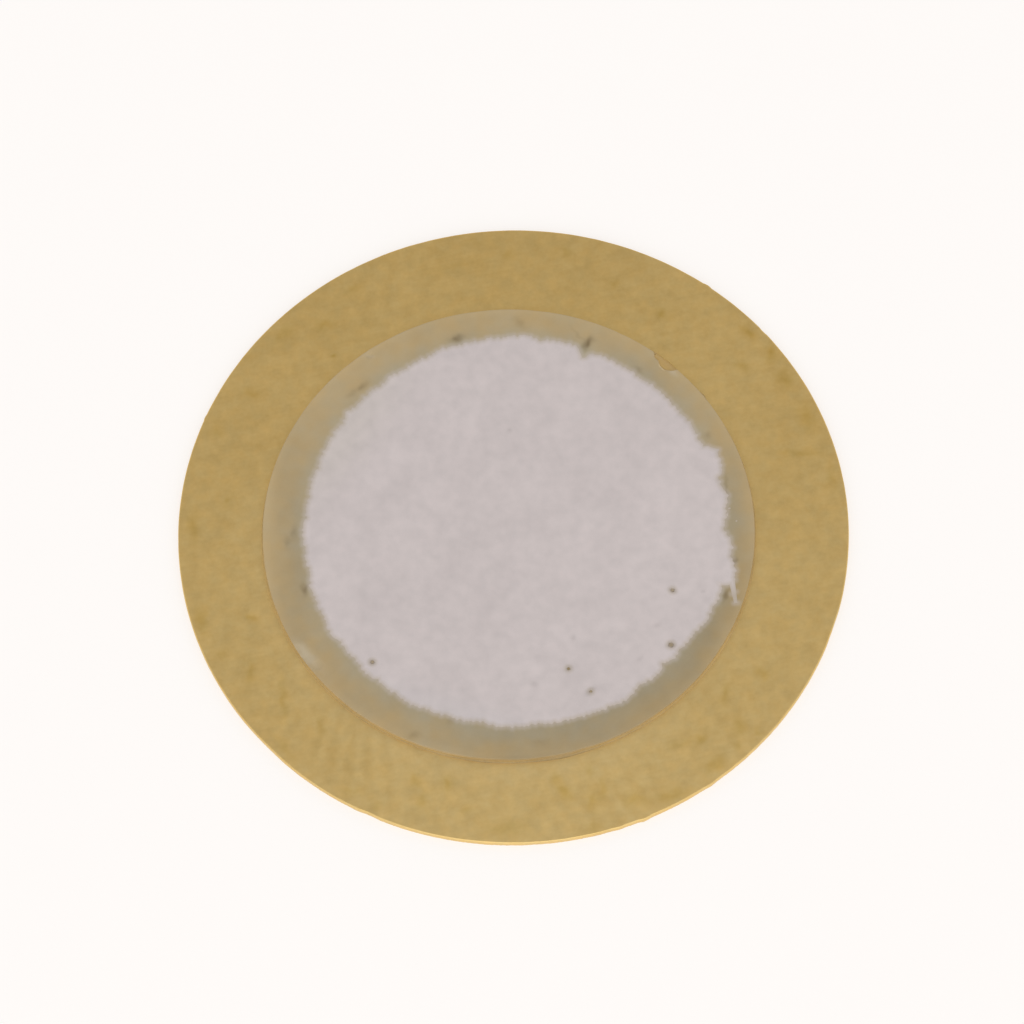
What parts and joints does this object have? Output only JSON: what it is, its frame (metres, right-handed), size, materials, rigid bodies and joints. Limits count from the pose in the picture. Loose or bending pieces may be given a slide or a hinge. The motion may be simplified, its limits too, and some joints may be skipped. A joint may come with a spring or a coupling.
{
  "type": "piezo disc",
  "caption": "Thin round brass plate with a silvered piezoelectric ceramic disc bonded to its middle, which bends the plate to make or sense vibration.",
  "frame": {"origin": "centre of the brass plate's underside", "axes": "+Z through the layers, from the plate to the upper electrode; +X to the viewer's right and +Y away from the viewer"},
  "size_m": [0.027, 0.027, 0.0005],
  "materials": {
    "brass": "satin, rolled, handled",
    "ceramic": "fired ceramic, matt, greenish tan",
    "silver": "fired silver print, matt, pale grey",
    "epoxy": "cured epoxy, glossy, amber"
  },
  "bodies": {
    "root": {"brass_plate": "brass", "glue_layer": "epoxy", "lower_electrode": "silver", "ceramic_disc": "ceramic", "upper_electrode": "silver"}
  },
  "joints": []
}
